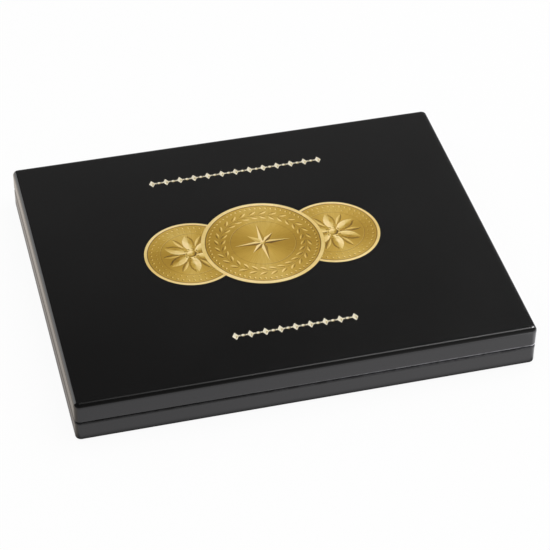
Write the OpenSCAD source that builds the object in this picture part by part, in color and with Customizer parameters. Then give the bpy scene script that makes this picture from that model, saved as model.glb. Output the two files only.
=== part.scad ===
// Flat display case for coins in capsules. The base and the lid are mitred
// frames closed by a panel each, lacquered all over. Two stop hinges join them
// at the back, and magnets in the front rails hold the lid shut. A flocked
// board with round recesses fills the base, and padded satin lines the lid.
// Origin: the middle of the underside. +X is right, +Y is back, +Z is up.

/* [Case] */
// Width of the case, left to right
case_w = 305; // [240:1:400]
// Depth of the case, front to back
case_d = 245; // [200:1:320]
// Height of the base, from the table to its rim
base_h = 14.85; // [13.5:0.05:30]
// Height of the lid, from its rim to its top
lid_h = 14.85; // [13.5:0.05:30]
// Gap between the two rims when the case is shut
rim_gap = 0.3; // [0.2:0.05:0.6]
// Width of the rails that frame the base and the lid
rail_w = 12; // [11:0.5:18]
// Thickness of the bottom panel
base_panel_t = 4; // [3:0.1:5]
// Thickness of the top panel
lid_panel_t = 5; // [3.2:0.1:6]

/* [Rounded edges] */
// Radius of the upright corners
corner_r = 3.8; // [3.2:0.1:6]
// Radius of the lid's top edge
top_edge_r = 3; // [0.5:0.1:3.6]
// Radius of the base's bottom edge
bottom_edge_r = 1.6; // [0.5:0.1:3.6]
// Radius of the two outer edges that meet at the rims
rim_edge_r = 1.5; // [0.3:0.1:2]
// Radius of the two inner edges at the rims
inner_edge_r = 0.6; // [0.2:0.1:1]

/* [Felt on the underside] */
// Thickness of the felt
felt_t = 1; // [0.8:0.1:2]
// Depth that the felt is let into the bottom panel
felt_recess = 0.6; // [0.3:0.1:0.7]
// Distance from the case's sides to the felt
felt_inset = 9; // [5:0.5:30]

/* [Insert] */
// Thickness of the flocked card under the insert
insert_floor_t = 1.2; // [0.8:0.1:2]
// Thickness of the insert board, which is the depth of its recesses
insert_board_t = 7.2; // [4:0.1:7.5]
// Diameter of a recess
recess_d = 36.5; // [22:0.5:50]
// Web between two recesses side by side
web_x = 9; // [5:0.5:20]
// Web between two recesses front to back
web_y = 6.5; // [5:0.5:20]
// Least distance from a recess to the edge of the board
recess_margin = 5.5; // [4:0.5:20]
// Diameter of the finger notch at the front of each recess
notch_d = 16; // [10:0.5:20]
// How far a finger notch reaches past its recess
notch_reach = 3; // [1.5:0.1:3.5]
// Clearance between the insert and the rails
insert_clear = 0.3; // [0.1:0.05:1]

/* [Lid lining] */
// Thickness of the card behind the lining
lid_card_t = 1.5; // [1:0.1:2]
// Thickness of the padded lining
lining_t = 2.5; // [2.2:0.1:3]
// Clearance between the lining and the rails
lining_clear = 0.6; // [0.3:0.1:2]
// Radius of the lining's soft edge
lining_edge_r = 1.8; // [0.5:0.1:2]

/* [Print on the lid] */
// Thickness of the gold print
print_t = 0.2; // [0.1:0.05:0.3]
// Diameter of the large disc in the middle
main_disc_d = 84; // [40:1:110]
// Diameter of the disc at each side
side_disc_d = 64; // [30:1:90]
// Distance from the middle disc's centre to a side disc's
side_disc_x = 49.5; // [40:0.5:80]
// Height of the emblem's centre line above the lid's middle
emblem_y = 3.5; // [-15:0.5:15]
// Length of the ornamental rule behind the emblem
back_rule_w = 134; // [60:1:200]
// Length of the ornamental rule in front of the emblem
front_rule_w = 93; // [60:1:200]
// Distance from the lid's middle to each rule
rule_y = 83; // [65:0.5:90]
// Height of a lozenge on the rules
lozenge_h = 7; // [4:0.5:12]
// Width of a lozenge on the rules
lozenge_w = 4.4; // [2:0.2:6]
// Diameter of a bead on the rules
bead_d = 2.4; // [1:0.1:3]
// Distance between two lozenges
lozenge_pitch = 10; // [8:0.5:20]
// Width of the line that joins them
line_w = 0.5; // [0.3:0.1:1.5]

/* [Hinges] */
// Distance from the case's side to a hinge's middle
hinge_inset = 67.5; // [30:0.5:90]
// Length of a hinge
hinge_len = 32; // [26:1:50]
// Width of a leaf in its rail
leaf_w = 9; // [8:0.5:9.5]
// Thickness of a leaf
leaf_t = 1.2; // [1.1:0.1:1.6]
// Radius of the knuckles
knuckle_r = 2; // [1.8:0.1:2.5]
// Radius of the hinge pin
pin_r = 1; // [0.7:0.05:1.2]
// Radial play of the pin in the lid's knuckle
pin_play = 0.05; // [0.02:0.01:0.1]
// Radial gap of the pin in the base's knuckles, closed by peening
pin_fit = 0.02; // [0.01:0.01:0.05]
// Distance from the back of the case to the hinge line
axis_out = 0.6; // [0.3:0.1:1.5]
// Gap along the pin between two knuckles
knuckle_gap = 0.3; // [0.2:0.05:0.6]
// Clearance round the knuckles
knuckle_clear = 0.3; // [0.25:0.05:0.6]
// Clearance at the ends of a leaf in its mortise
mortise_clear = 0.1; // [0.05:0.05:0.3]
// Angle at which the stops of the two leaves meet
open_angle = 100.5; // [90.5:1:120.5]
// Thickness of a stop
stop_t = 1.2; // [0.8:0.1:1.6]
// Height of a stop beyond the knuckles
stop_reach = 1.6; // [1:0.1:3]

/* [Hinge screws] */
// Distance between the two screws of a leaf
screw_spacing = 20; // [12:0.5:22]
// Distance from the back of the case to the screws
screw_in = 5.2; // [4.8:0.1:5.5]
// Length of a screw
screw_len = 7; // [5:0.5:8]
// Diameter of a screw's shank
screw_d = 2.2; // [1.6:0.1:2.6]
// Diameter of a screw's countersunk head
screw_head_d = 4.2; // [3.6:0.1:5]
// Height of a screw's countersunk head
screw_head_h = 1; // [0.8:0.05:1.05]
// Width of the cross in a screw's head
cross_w = 0.5; // [0.3:0.1:0.8]
// Clearance round a screw
screw_clear = 0.05; // [0.02:0.01:0.1]

/* [Magnets] */
// Distance from the case's side to a magnet's middle
magnet_inset = 57.5; // [20:0.5:100]
// Diameter of a magnet
magnet_d = 8; // [5:0.5:8.5]
// Thickness of a magnet
magnet_t = 2.5; // [1.5:0.5:4]
// Depth of a magnet's face below the rim
magnet_sink = 0.1; // [0.05:0.05:0.3]
// Clearance round a magnet
magnet_clear = 0.05; // [0.02:0.01:0.2]

/* [Hidden] */
$fn = 64;
cut = 1;                                     // how far a cutter runs past the face it opens
underside_z = felt_t - felt_recess;          // bottom of the lacquered case
base_rail_z = underside_z + base_panel_t;
base_rail_h = base_h - base_rail_z;
hinge_z = base_h + rim_gap / 2;              // hinge line, halfway between the rims
lid_z = base_h + rim_gap;                    // the lid's rim
lid_top_z = lid_z + lid_h;
lid_rail_h = lid_h - lid_panel_t;
lid_under_z = lid_z + lid_rail_h;            // underside of the top panel
inner_w = case_w - 2 * rail_w;
inner_d = case_d - 2 * rail_w;
board_w = inner_w - 2 * insert_clear;
board_d = inner_d - 2 * insert_clear;
board_z = base_rail_z + insert_floor_t;
pitch_x = recess_d + web_x;
pitch_y = recess_d + web_y;
columns = floor((board_w - 2 * recess_margin + web_x) / pitch_x);
rows = floor((board_d - 2 * recess_margin + web_y) / pitch_y);
hinge_x = case_w / 2 - hinge_inset;
hinge_y = case_d / 2 + axis_out;
leaf_back = knuckle_r + knuckle_clear;       // room that a leaf leaves round the other's knuckles
stop_half = open_angle / 2;                  // each stop's angle from the level
knuckle_l = (hinge_len - 2 * knuckle_gap) / 3;
base_leaf_cuts = [[-knuckle_l / 2 - knuckle_gap, knuckle_l / 2 + knuckle_gap]];
lid_leaf_cuts = [[-hinge_len / 2 - cut, -knuckle_l / 2], [knuckle_l / 2, hinge_len / 2 + cut]];
magnet_x = case_w / 2 - magnet_inset;
magnet_y = (rail_w - case_d) / 2;            // the middle of the front rails

lacquer = [0.12, 0.12, 0.12];
gold = [0.78, 0.64, 0.33];
brass = [0.72, 0.6, 0.32];
steel = [0.75, 0.76, 0.78];

// ---------- profiles and runs of the lacquered shell ----------

// What rounding a corner at the origin takes away, below and left of it
module corner_waste(r) {
    translate([-r, -r])
        difference() {
            square(r + cut);
            circle(r);
        }
}

// Section w wide and h high, with its far side rounded below and above
module edge_section(w, h, low_r, high_r) {
    difference() {
        square([w, h]);
        if (low_r > 0) translate([w, 0]) mirror([0, 1]) corner_waste(low_r);
        if (high_r > 0) translate([w, h]) corner_waste(high_r);
    }
}

// Straight run of that section, which faces -Y with its inner side at y = 0
module edge_run(length, w, h, low_r, high_r) {
    translate([-length / 2, 0, 0])
        rotate([90, 0, 90])
            linear_extrude(length)
                mirror([1, 0]) edge_section(w, h, low_r, high_r);
}

// The section turned about a corner's axis, from one direction over an angle
module edge_turn(from, angle, h, low_r, high_r) {
    rotate([0, 0, from])
        rotate_extrude(angle = angle) edge_section(corner_r, h, low_r, high_r);
}

// Mitred rail along X whose outer face is at y = -reach. The edges that are
// rounded outside are eased inside too.
module rail(length, reach, h, low_r, high_r) {
    run = length / 2 - corner_r;
    line = reach - corner_r;
    intersection() {
        union() {
            translate([0, -line, 0]) rotate([0, 0, 180])
                edge_run(2 * run, rail_w - corner_r, h,
                         min(low_r, inner_edge_r), min(high_r, inner_edge_r));
            translate([0, -line, 0]) edge_run(2 * run, corner_r, h, low_r, high_r);
            translate([run, -line, 0]) edge_turn(-90, 90, h, low_r, high_r);
            translate([-run, -line, 0]) edge_turn(-180, 90, h, low_r, high_r);
        }
        translate([0, 0, -cut])
            linear_extrude(h + 2 * cut)
                polygon([[-length / 2 - cut, -reach - cut], [length / 2 + cut, -reach - cut],
                         [length / 2 - rail_w - cut, rail_w + cut - reach],
                         [rail_w + cut - length / 2, rail_w + cut - reach]]);
    }
}

// Board with rounded corners whose edges are rounded below and above
module board(w, d, h, low_r, high_r) {
    core_w = w - 2 * corner_r;
    core_d = d - 2 * corner_r;
    translate([-core_w / 2, -core_d / 2, 0]) cube([core_w, core_d, h]);
    for (turn = [0, 180]) rotate([0, 0, turn]) {
        translate([0, -core_d / 2, 0]) edge_run(core_w, corner_r, h, low_r, high_r);
        rotate([0, 0, 90])
            translate([0, -core_w / 2, 0]) edge_run(core_d, corner_r, h, low_r, high_r);
        translate([core_w / 2, core_d / 2, 0]) edge_turn(0, 90, h, low_r, high_r);
        translate([-core_w / 2, core_d / 2, 0]) edge_turn(90, 90, h, low_r, high_r);
    }
}

// Flat sheet with rounded corners, centred on the origin
module sheet(w, d, t, r) {
    linear_extrude(t) {
        square([w - 2 * r, d], center = true);
        square([w, d - 2 * r], center = true);
        for (x = [-1, 1], y = [-1, 1])
            translate([x * (w / 2 - r), y * (d / 2 - r)]) circle(r);
    }
}

module base_rail(length, reach) {
    translate([0, 0, base_rail_z]) rail(length, reach, base_rail_h, 0, rim_edge_r);
}

module lid_rail(length, reach) {
    translate([0, 0, lid_z]) rail(length, reach, lid_rail_h, rim_edge_r, 0);
}

// ---------- hinges ----------

// Places its children on the hinge line, at the left (-1) or the right (1)
module at_hinge(side) {
    translate([side * hinge_x, hinge_y, hinge_z]) children();
}

// The two screw places of a leaf that lies below the hinge line
module at_screws() {
    for (x = [-1, 1])
        translate([x * screw_spacing / 2, -axis_out - screw_in, -rim_gap / 2]) children();
}

// Countersunk screw pointing down from z = 0, grown all round by a clearance
module screw_form(clear) {
    shank_r = screw_d / 2 + clear;
    head_r = screw_head_d / 2 + clear;
    tip_r = screw_d / 8 + clear;
    tip_z = -screw_len - clear;
    rotate_extrude()
        polygon([[0, 0], [head_r, 0], [shank_r, -screw_head_h - clear],
                 [shank_r, tip_z + screw_d / 2], [tip_r, tip_z], [0, tip_z]]);
}

module screw_bore() {
    screw_form(screw_clear);
    cylinder(r = screw_head_d / 2 + screw_clear, h = cut);
}

module screw() {
    cross_l = screw_head_d * 0.6;
    difference() {
        screw_form(0);
        for (turn = [0, 90]) rotate([0, 0, turn])
            translate([-cross_l / 2, -cross_w / 2, -screw_head_h / 2])
                cube([cross_l, cross_w, screw_head_h]);
    }
}

// Section of a leaf below the hinge line, seen along the pin: its plate, its
// knuckle and the arm behind the knuckle that ends in the stop
module leaf_section(bore_r) {
    difference() {
        union() {
            circle(knuckle_r);
            translate([-axis_out - leaf_w, -rim_gap / 2 - leaf_t])
                square([axis_out + leaf_w, leaf_t]);
            rotate(-stop_half)
                translate([0, -stop_t]) square([leaf_back + stop_reach, stop_t]);
        }
        circle(bore_r);
    }
}

// Extrudes a section along the pin, from one place to another
module along_pin(from, to) {
    translate([from, 0, 0]) rotate([90, 0, 90]) linear_extrude(to - from) children();
}

// Leaf below the hinge line, cut away round the other leaf's knuckles
module leaf(other_knuckles, bore_r) {
    difference() {
        along_pin(-hinge_len / 2, hinge_len / 2) leaf_section(bore_r);
        for (span = other_knuckles) along_pin(span[0], span[1]) circle(leaf_back);
        at_screws() screw_bore();
    }
}

module hinge_pin() {
    rotate([0, 90, 0]) cylinder(r = pin_r, h = hinge_len, center = true);
}

// What the rail below the hinge line loses to a hinge
module hinge_mortise() {
    pocket_l = hinge_len + 2 * mortise_clear;
    translate([-pocket_l / 2, -axis_out - leaf_w - mortise_clear, -rim_gap / 2 - leaf_t])
        cube([pocket_l, leaf_w + mortise_clear + cut, leaf_t + cut]);
    rotate([0, 90, 0])
        cylinder(r = knuckle_r + knuckle_clear, h = pocket_l, center = true);
    at_screws() screw_bore();
}

// ---------- magnets ----------

// Places its children at the two magnets, at the height z
module at_magnets(z) {
    for (x = [-1, 1]) translate([x * magnet_x, magnet_y, z]) children();
}

module magnet() {
    cylinder(d = magnet_d, h = magnet_t);
}

module magnet_bore() {
    cylinder(d = magnet_d + 2 * magnet_clear, h = magnet_t + magnet_sink + cut);
}

// ---------- base ----------

module base_panel() {
    color(lacquer)
        difference() {
            translate([0, 0, underside_z])
                board(case_w, case_d, base_panel_t, bottom_edge_r, 0);
            translate([0, 0, underside_z - cut])
                sheet(case_w - 2 * felt_inset, case_d - 2 * felt_inset,
                      felt_recess + cut, corner_r);
        }
}

module base_front_rail() {
    color(lacquer)
        difference() {
            base_rail(case_w, case_d / 2);
            at_magnets(base_h - magnet_sink - magnet_t) magnet_bore();
        }
}

module base_back_rail() {
    color(lacquer)
        difference() {
            rotate([0, 0, 180]) base_rail(case_w, case_d / 2);
            for (side = [-1, 1]) at_hinge(side) hinge_mortise();
        }
}

module base_left_rail() {
    color(lacquer) rotate([0, 0, -90]) base_rail(case_d, case_w / 2);
}

module base_right_rail() {
    color(lacquer) rotate([0, 0, 90]) base_rail(case_d, case_w / 2);
}

module base_felt() {
    color([0.1, 0.1, 0.11])
        sheet(case_w - 2 * felt_inset, case_d - 2 * felt_inset, felt_t, corner_r);
}

// ---------- insert ----------

module insert_floor() {
    color([0.07, 0.1, 0.22])
        translate([-board_w / 2, -board_d / 2, base_rail_z])
            cube([board_w, board_d, insert_floor_t]);
}

// Outline of one recess with the finger notch at its front
module recess_outline() {
    circle(d = recess_d);
    translate([0, notch_d / 2 - recess_d / 2 - notch_reach]) circle(d = notch_d);
}

module insert_board() {
    color([0.07, 0.1, 0.22])
        translate([0, 0, board_z])
            linear_extrude(insert_board_t)
                difference() {
                    square([board_w, board_d], center = true);
                    for (i = [0:columns - 1], j = [0:rows - 1])
                        translate([(i - (columns - 1) / 2) * pitch_x,
                                   (j - (rows - 1) / 2) * pitch_y])
                            recess_outline();
                }
}

// ---------- lid ----------

module lid_panel() {
    color(lacquer)
        translate([0, 0, lid_under_z]) board(case_w, case_d, lid_panel_t, 0, top_edge_r);
}

module lid_front_rail() {
    color(lacquer)
        difference() {
            lid_rail(case_w, case_d / 2);
            at_magnets(lid_z + magnet_sink + magnet_t) mirror([0, 0, 1]) magnet_bore();
        }
}

module lid_back_rail() {
    color(lacquer)
        difference() {
            rotate([0, 0, 180]) lid_rail(case_w, case_d / 2);
            for (side = [-1, 1]) at_hinge(side) mirror([0, 0, 1]) hinge_mortise();
        }
}

module lid_left_rail() {
    color(lacquer) rotate([0, 0, -90]) lid_rail(case_d, case_w / 2);
}

module lid_right_rail() {
    color(lacquer) rotate([0, 0, 90]) lid_rail(case_d, case_w / 2);
}

module lid_card() {
    color([0.85, 0.82, 0.75])
        translate([0, 0, lid_under_z - lid_card_t])
            sheet(inner_w - 2 * lining_clear, inner_d - 2 * lining_clear, lid_card_t, corner_r);
}

module lid_lining() {
    color([0.9, 0.87, 0.8])
        translate([0, 0, lid_under_z - lid_card_t - lining_t])
            board(inner_w - 2 * lining_clear, inner_d - 2 * lining_clear, lining_t,
                  lining_edge_r, 0);
}

module lid_emblem() {
    color(gold)
        translate([0, emblem_y, lid_top_z])
            linear_extrude(print_t) {
                circle(d = main_disc_d);
                for (x = [-1, 1]) translate([x * side_disc_x, 0]) circle(d = side_disc_d);
            }
}

// A line strung with lozenges, and with beads halfway between them
module ornamental_rule(width) {
    count = floor((width - lozenge_w) / lozenge_pitch);
    first = -count * lozenge_pitch / 2;
    linear_extrude(print_t) {
        square([count * lozenge_pitch, line_w], center = true);
        for (i = [0:count])
            translate([first + i * lozenge_pitch, 0])
                polygon([[-lozenge_w / 2, 0], [0, -lozenge_h / 2],
                         [lozenge_w / 2, 0], [0, lozenge_h / 2]]);
        for (i = [0:count - 1])
            translate([first + (i + 0.5) * lozenge_pitch, 0]) circle(d = bead_d);
    }
}

module lid_rules() {
    color(gold) {
        translate([0, rule_y, lid_top_z]) ornamental_rule(back_rule_w);
        translate([0, -rule_y, lid_top_z]) ornamental_rule(front_rule_w);
    }
}

// ---------- hardware ----------

module hinge_base_leaf(side) {
    color(brass) at_hinge(side) leaf(base_leaf_cuts, pin_r + pin_fit);
}

module hinge_lid_leaf(side) {
    color(brass) at_hinge(side) mirror([0, 0, 1]) leaf(lid_leaf_cuts, pin_r + pin_play);
}

module left_hinge_base_leaf() {
    hinge_base_leaf(-1);
}

module right_hinge_base_leaf() {
    hinge_base_leaf(1);
}

module left_hinge_lid_leaf() {
    hinge_lid_leaf(-1);
}

module right_hinge_lid_leaf() {
    hinge_lid_leaf(1);
}

module left_hinge_pin() {
    color(steel) at_hinge(-1) hinge_pin();
}

module right_hinge_pin() {
    color(steel) at_hinge(1) hinge_pin();
}

module base_hinge_screws() {
    color(brass) for (side = [-1, 1]) at_hinge(side) at_screws() screw();
}

module lid_hinge_screws() {
    color(brass) for (side = [-1, 1]) at_hinge(side) mirror([0, 0, 1]) at_screws() screw();
}

module base_magnets() {
    color(steel) at_magnets(base_h - magnet_sink - magnet_t) magnet();
}

module lid_magnets() {
    color(steel) at_magnets(lid_z + magnet_sink) magnet();
}

base_panel();
base_front_rail();
base_back_rail();
base_left_rail();
base_right_rail();
base_felt();
insert_floor();
insert_board();
lid_panel();
lid_front_rail();
lid_back_rail();
lid_left_rail();
lid_right_rail();
lid_card();
lid_lining();
lid_emblem();
lid_rules();
left_hinge_base_leaf();
left_hinge_lid_leaf();
left_hinge_pin();
right_hinge_base_leaf();
right_hinge_lid_leaf();
right_hinge_pin();
base_hinge_screws();
lid_hinge_screws();
base_magnets();
lid_magnets();
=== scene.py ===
"""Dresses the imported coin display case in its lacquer, gold print, flocked insert, satin
lining, felt and metal, and stands it on a white floor at the photo's angle."""

import math
from contextlib import contextmanager

import bmesh
import bpy
from mathutils import Matrix, Vector, noise


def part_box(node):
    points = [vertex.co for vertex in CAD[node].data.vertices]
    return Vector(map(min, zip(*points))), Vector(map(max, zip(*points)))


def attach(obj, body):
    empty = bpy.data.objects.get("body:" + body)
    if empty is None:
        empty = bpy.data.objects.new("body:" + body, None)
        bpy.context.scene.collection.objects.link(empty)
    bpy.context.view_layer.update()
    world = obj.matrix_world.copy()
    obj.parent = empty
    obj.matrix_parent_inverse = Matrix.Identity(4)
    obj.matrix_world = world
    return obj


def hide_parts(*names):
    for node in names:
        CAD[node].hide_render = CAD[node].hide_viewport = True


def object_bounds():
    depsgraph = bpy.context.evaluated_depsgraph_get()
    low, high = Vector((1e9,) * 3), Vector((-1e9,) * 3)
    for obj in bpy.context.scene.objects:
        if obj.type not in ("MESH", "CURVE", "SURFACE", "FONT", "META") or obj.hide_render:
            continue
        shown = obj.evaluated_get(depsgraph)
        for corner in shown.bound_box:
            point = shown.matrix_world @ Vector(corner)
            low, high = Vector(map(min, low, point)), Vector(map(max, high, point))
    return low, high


bl_info = {
    "name": "Coin display case",
    "version": (1, 0, 0),
    "blender": (4, 5, 0),
    "location": "3D Viewport > Sidebar > Coin case",
    "description": "Dresses a packed coin display case and sets its studio",
    "category": "Object",
}

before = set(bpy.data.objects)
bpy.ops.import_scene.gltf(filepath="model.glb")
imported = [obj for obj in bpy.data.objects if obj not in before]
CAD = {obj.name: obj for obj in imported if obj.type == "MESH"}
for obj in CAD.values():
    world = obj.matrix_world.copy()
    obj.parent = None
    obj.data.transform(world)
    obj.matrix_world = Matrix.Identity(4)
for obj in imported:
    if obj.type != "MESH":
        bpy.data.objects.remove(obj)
CASE_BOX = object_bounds()
FRONT_Y = CASE_BOX[0][1]  # the front of the case
RIGHT_X = CASE_BOX[1][0]  # its right side, as far from the middle as its left one
MM = 0.001  # the pieces are modelled in millimetres, and scaled when they are done
LACQUERED = ["base_panel", "base_front_rail", "base_back_rail", "base_left_rail",
             "base_right_rail", "lid_panel", "lid_front_rail", "lid_back_rail",
             "lid_left_rail", "lid_right_rail"]
LEAVES = ["left_hinge_base_leaf", "left_hinge_lid_leaf",
          "right_hinge_base_leaf", "right_hinge_lid_leaf"]


def box_mm(node):
    """Lowest and highest corner of a CAD node, in millimetres."""
    low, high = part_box(node)
    return low / MM, high / MM


# The print's box in millimetres, and the middle of the gap between the rims in metres
PRINT_LOW, PRINT_HIGH = box_mm("lid_emblem")
PRINT_BASE, PRINT_TOP = PRINT_LOW.z, PRINT_HIGH.z  # it lies on the lid, at its base
EMBLEM_Y = (PRINT_LOW.y + PRINT_HIGH.y) / 2
MIDDLE_R = (PRINT_HIGH.y - PRINT_LOW.y) / 2  # the radius of the middle medal
RIM_Z = (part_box("base_front_rail")[1].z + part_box("lid_front_rail")[0].z) / 2


# ---------- modelling ----------

def pick(*objects):
    """Selects these objects alone, with the first one active."""
    if bpy.context.object and bpy.context.object.mode != "OBJECT":
        bpy.ops.object.mode_set(mode="OBJECT")
    bpy.ops.object.select_all(action="DESELECT")
    for made in objects:
        made.select_set(True)
    if objects:
        bpy.context.view_layer.objects.active = objects[0]


def add(kind, **settings):
    """Adds a primitive with nothing else selected."""
    pick()
    getattr(bpy.ops.mesh, f"primitive_{kind}_add")(**settings)
    return bpy.context.object


@contextmanager
def editing(piece, mode="FACE"):
    """Edit mode on one piece, with nothing selected."""
    pick(piece)
    bpy.ops.object.mode_set(mode="EDIT")
    bpy.ops.mesh.select_mode(type=mode)
    bpy.ops.mesh.select_all(action="DESELECT")
    yield
    bpy.ops.object.mode_set(mode="OBJECT")


@contextmanager
def selecting(piece):
    """The mesh of a piece in edit mode with nothing selected, to select parts of it in code."""
    bpy.ops.mesh.select_all(action="DESELECT")
    shape = bmesh.from_edit_mesh(piece.data)
    yield shape
    shape.select_flush_mode()
    bmesh.update_edit_mesh(piece.data)


def select_faces(piece, wanted):
    """Selects the faces that a test on their centre and normal picks."""
    with selecting(piece) as shape:
        for face in shape.faces:
            face.select = wanted(face.calc_center_median(), face.normal)


def select_points(piece, wanted):
    """Selects the vertices that a test on their place picks."""
    with selecting(piece) as shape:
        for point in shape.verts:
            point.select = wanted(point.co)


def resize_all(value, low):
    """Resizes all of the piece in edit mode, about a level on the Z axis."""
    bpy.ops.mesh.select_all(action="SELECT")
    bpy.ops.transform.resize(value=value, center_override=(0, 0, low))


def fix(piece):
    """Puts a piece's place and size into its mesh."""
    pick(piece)
    bpy.ops.object.transform_apply(location=True, rotation=True, scale=True)


def facing_up(centre, normal):
    """Picks the faces that look up."""
    return normal.z > 0.9


def modify(piece, kind, **settings):
    """Adds a modifier and applies it."""
    pick(piece)
    made = piece.modifiers.new(kind.title(), kind)
    for name, value in settings.items():
        setattr(made, name, value)
    bpy.ops.object.modifier_apply(modifier=made.name)


def smooth(piece, angle=35):
    """Smooth shading, with edges sharper than an angle kept."""
    pick(piece)
    bpy.ops.object.shade_smooth_by_angle(angle=math.radians(angle))


def round_edges(piece, width):
    """Rounds the edges of a board or a sheet, but not those of its round holes' facets."""
    modify(piece, "BEVEL", width=width, segments=3, limit_method="ANGLE",
           angle_limit=math.radians(50))
    smooth(piece)


def copies(piece, places):
    """Copies of a piece, each with its own mesh, at these matrices. The piece goes."""
    made = []
    for place in places:
        twin = piece.copy()
        twin.data = piece.data.copy()
        twin.data.transform(place)
        bpy.context.collection.objects.link(twin)
        made.append(twin)
    bpy.data.objects.remove(piece)
    return made


def joined(pieces, name):
    """One piece made of several."""
    pick(*pieces)
    if len(pieces) > 1:
        bpy.ops.object.join()
    made = bpy.context.object
    made.name = name
    made.data.name = name
    return made


def settle(piece, material, body, stands_for):
    """Scales a piece from millimetres, and gives it its finish and its body."""
    fix(piece)
    piece.scale = (MM, MM, MM)
    fix(piece)
    dress(piece, material)
    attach(piece, body)
    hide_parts(*stands_for)
    return piece


def dress(piece, material):
    """Puts one material on all of a piece."""
    piece.data.materials.clear()
    piece.data.materials.append(material)
    for face in piece.data.polygons:
        face.material_index = 0


def dress_node(node, material):
    """Puts a material on a CAD node, through its object's slots."""
    for place in CAD[node].material_slots:
        place.link = "OBJECT"
        place.material = material


def merged_copy(node, name):
    """Copy of a CAD node in millimetres, its triangles merged into whole faces."""
    copy = CAD[node].copy()
    copy.data = CAD[node].data.copy()
    copy.name = name
    copy.parent = None
    for key in list(copy.keys()):  # the custom properties that mark it as a CAD node
        del copy[key]
    bpy.context.collection.objects.link(copy)
    copy.data.transform(Matrix.Diagonal((1 / MM, 1 / MM, 1 / MM, 1)))
    pick(copy)
    bpy.ops.mesh.customdata_custom_splitnormals_clear()
    with editing(copy):
        bpy.ops.mesh.select_all(action="SELECT")
        bpy.ops.mesh.remove_doubles(threshold=0.001)
        bpy.ops.mesh.dissolve_limited(angle_limit=math.radians(0.5))
    return copy


# ---------- materials ----------

class Signal:
    """A value in a material's nodes. Arithmetic on it adds the Math nodes."""

    def __init__(self, finish, socket):
        self.finish = finish
        self.socket = socket

    def math(self, operation, *others):
        """One Math node on this value and others."""
        inputs = dict(enumerate([self, *others]))
        return self.finish.node("ShaderNodeMath", {"operation": operation}, inputs)

    def __add__(self, other):
        return self.math("ADD", other)

    def __sub__(self, other):
        return self.math("SUBTRACT", other)

    def __rsub__(self, other):
        return self.math("MULTIPLY_ADD", -1.0, other)

    def __mul__(self, other):
        return self.math("MULTIPLY", other)

    __radd__ = __add__
    __rmul__ = __mul__

    def between(self, start, end, low=0.0, high=1.0):
        """Changes from low at start to high at end, smoothly, and stays level past them."""
        return self.finish.node("ShaderNodeMapRange", {"interpolation_type": "SMOOTHSTEP"},
                                {"Value": self, "From Min": start, "From Max": end,
                                 "To Min": low, "To Max": high})

    def band(self, start, full, fading, end):
        """1 from full to fading, 0 before start and past end, and smooth between them."""
        return self.between(start, full) * self.between(fading, end, 1.0, 0.0)


class Finish:
    """A material, or the world given as its owner, and the nodes that make it."""

    def __init__(self, name, owner=None):
        self.material = owner or bpy.data.materials.new(name)
        self.material.use_nodes = True
        self.tree = self.material.node_tree
        self.tree.nodes.clear()

    def node(self, kind, settings=None, inputs=None, out=0):
        """Adds a node: its settings or a ramp's stops first, then the values or links of its
        sockets. It gives back one of its outputs."""
        made = self.tree.nodes.new(kind)
        for name, value in (settings or {}).items():
            if name == "stops":
                ramp = made.color_ramp.elements
                while len(ramp) < len(value):
                    ramp.new(0.5)
                for element, (position, colour) in zip(ramp, value):
                    element.position, element.color = position, colour
            else:
                setattr(made, name, value)
        for name, value in (inputs or {}).items():
            if isinstance(value, Signal):
                self.tree.links.new(value.socket, made.inputs[name])
            else:
                made.inputs[name].default_value = value
        return Signal(self, made.outputs[out]) if made.outputs else None

    def place(self):
        """The point's place on the piece, in metres."""
        return self.node("ShaderNodeTexCoord", out="Object")

    def painted_tone(self):
        """The tone that paint_tones leaves on a piece of the print."""
        return self.node("ShaderNodeAttribute", {"attribute_name": "tone"}, out="Fac")

    def axes(self, place):
        """The three parts of a place or a direction."""
        parts = self.node("ShaderNodeSeparateXYZ", None, {0: place}).socket.node.outputs
        return [Signal(self, parts[name]) for name in "XYZ"]

    def grain(self, place, scale, detail=2.0):
        """Soft noise from 0 to 1, with so many grains to the metre."""
        return self.node("ShaderNodeTexNoise", None,
                         {"Vector": place, "Scale": scale, "Detail": detail})

    def stretched(self, place, scale):
        """The place, scaled along each axis."""
        return self.node("ShaderNodeMapping", None, {"Vector": place, "Scale": scale})

    def mix(self, factor, first, second):
        """A colour between two."""
        return self.node("ShaderNodeMix", {"data_type": "RGBA"},
                         {0: factor, 6: first, 7: second}, out=2)

    def bump(self, height, strength, distance):
        """A bumped normal."""
        return self.node("ShaderNodeBump", None,
                         {"Height": height, "Strength": strength, "Distance": distance})

    def surface(self, **sockets):
        """Ends the material in a Principled BSDF with these sockets."""
        inputs = {name.replace("_", " "): value for name, value in sockets.items()}
        shader = self.node("ShaderNodeBsdfPrincipled", None, inputs)
        self.node("ShaderNodeOutputMaterial", None, {"Surface": shader})
        return self.material


def toned(colour, share=1.0):
    """A colour made darker or lighter, as the nodes take it."""
    return [*(part * share for part in colour[:3]), 1.0]


def tint(red, green, blue):
    """A colour given as it shows on screen, from 0 to 255, as the nodes take it."""
    def linear(value):
        value /= 255
        return value / 12.92 if value <= 0.04045 else ((value + 0.055) / 1.055) ** 2.4
    return (linear(red), linear(green), linear(blue), 1.0)


# ---------- finishes ----------

# The print's colours, from its darkest tone to its lightest
GOLD_TONES = [(0.0, tint(74, 48, 4)), (0.22, tint(124, 89, 12)), (0.42, tint(160, 125, 33)),
              (0.58, tint(188, 153, 62)), (0.78, tint(220, 192, 116)), (1.0, tint(240, 216, 158))]
CREAM_TONES = [(0.0, tint(132, 108, 52)), (0.42, tint(208, 193, 148)),
               (0.72, tint(232, 224, 202))]
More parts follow.
